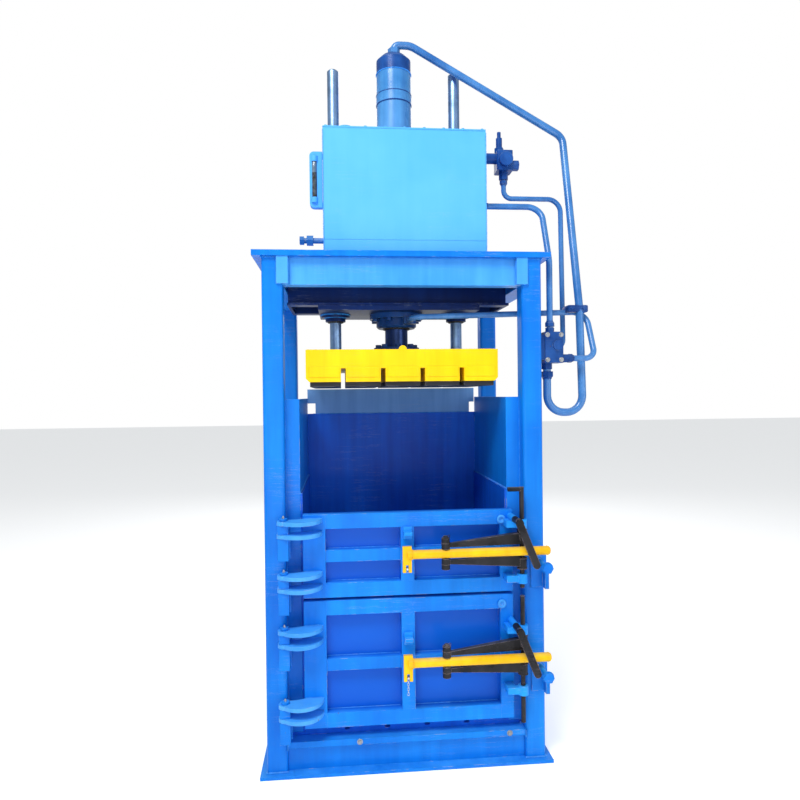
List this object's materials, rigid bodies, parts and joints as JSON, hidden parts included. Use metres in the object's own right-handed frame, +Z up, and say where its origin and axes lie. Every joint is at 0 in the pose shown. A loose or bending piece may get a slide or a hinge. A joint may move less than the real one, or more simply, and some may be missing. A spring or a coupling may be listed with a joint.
{
  "type": "recycling baler",
  "caption": "Vertical recycling baler: welded blue press frame, bale chamber with two latched front doors, hydraulic ram with slotted platen, oil tank on top.",
  "frame": {"origin": "on the floor, at the underside of the base, below the axis of the press cylinder", "axes": "+Z up along the press axis, -Y out of the front doors, +X to the right when facing the doors"},
  "size_m": [1.37, 0.991, 2.9993],
  "materials": {
    "frame_blue": "gloss machine enamel",
    "tank_blue": "semi-gloss enamel, paler",
    "pale_blue": "satin enamel",
    "dark_blue": "gloss enamel over castings",
    "yellow": "gloss enamel",
    "black": "semi-gloss, worn",
    "rod_steel": "ground and oiled"
  },
  "bodies": {
    "press_frame": {"front_left_post": "frame_blue", "front_right_post": "frame_blue", "rear_left_post": "frame_blue", "rear_right_post": "frame_blue", "front_sill": "frame_blue", "rear_sill": "frame_blue", "floor_beam": "frame_blue", "chamber_floor": "frame_blue", "left_base_rail": "frame_blue", "right_base_rail": "frame_blue", "back_wall": "frame_blue", "back_guard_plate": "pale_blue", "left_side_wall": "frame_blue", "right_side_wall": "frame_blue", "chamber_liners": "frame_blue", "top_plate": "frame_blue", "front_top_beam": "frame_blue", "rear_top_beam": "frame_blue", "left_top_rail": "frame_blue", "right_top_rail": "frame_blue", "cylinder_beams": "frame_blue", "cylinder_mount_plate": "frame_blue", "left_guide_sleeve": "frame_blue", "right_guide_sleeve": "frame_blue", "cylinder_barrel": "frame_blue", "cylinder_cap": "frame_blue", "cylinder_gland": "dark_blue", "gland_bolts": "dark_blue", "oil_tank": "tank_blue", "tank_lid": "tank_blue", "level_gauge": "frame_blue", "drain_valve": "dark_blue", "pump_motor": "dark_blue", "oil_pump": "dark_blue", "relief_valve": "dark_blue", "control_valve": "dark_blue", "cylinder_top_pipe": "frame_blue", "rod_side_pipe": "frame_blue", "pump_pipe": "frame_blue", "return_pipe": "frame_blue", "hinge_blocks": "frame_blue", "latch_keepers": "frame_blue"},
    "ram": {"piston_rod": "rod_steel", "rod_flange": "dark_blue", "left_guide_rod": "dark_blue", "right_guide_rod": "dark_blue", "platen": "yellow", "platen_sole": "black"},
    "upper_door_leaf": {"upper_door": "frame_blue", "upper_hinge_arms": "frame_blue", "upper_latch_lugs": "frame_blue"},
    "upper_latch_handle": {"upper_latch_shaft": "black", "upper_handle": "yellow"},
    "upper_catch_bar": {"upper_latch_bar": "black"},
    "lower_door_leaf": {"lower_door": "frame_blue", "lower_hinge_arms": "frame_blue", "lower_latch_lugs": "frame_blue"},
    "lower_latch_handle": {"lower_latch_shaft": "black", "lower_handle": "yellow"},
    "lower_catch_bar": {"lower_latch_bar": "black"}
  },
  "joints": [
    {"name": "ram_stroke", "type": "slide", "parent": "press_frame", "child": "ram", "axis": [0, 0, -1], "range_m": [0, 0.95]},
    {"name": "upper_door_hinge", "type": "hinge", "parent": "press_frame", "child": "upper_door_leaf", "pos_m": [-0.47, -0.393, 0.85], "axis": [0, 0, -1], "range_deg": [0, 110]},
    {"name": "upper_handle_turn", "type": "hinge", "parent": "upper_door_leaf", "child": "upper_latch_handle", "pos_m": [0.445, -0.4, 0.85], "axis": [0, 0, 1], "range_deg": [0, 20]},
    {"name": "upper_bar_swing", "type": "hinge", "parent": "upper_door_leaf", "child": "upper_catch_bar", "pos_m": [0.411, -0.484, 0.97], "axis": [0, 1, 0], "range_deg": [-7, 22]},
    {"name": "lower_door_hinge", "type": "hinge", "parent": "press_frame", "child": "lower_door_leaf", "pos_m": [-0.47, -0.393, 0.44], "axis": [0, 0, -1], "range_deg": [0, 110]},
    {"name": "lower_handle_turn", "type": "hinge", "parent": "lower_door_leaf", "child": "lower_latch_handle", "pos_m": [0.445, -0.4, 0.44], "axis": [0, 0, 1], "range_deg": [0, 20]},
    {"name": "lower_bar_swing", "type": "hinge", "parent": "lower_door_leaf", "child": "lower_catch_bar", "pos_m": [0.411, -0.484, 0.56], "axis": [0, 1, 0], "range_deg": [-7, 22]}
  ]
}
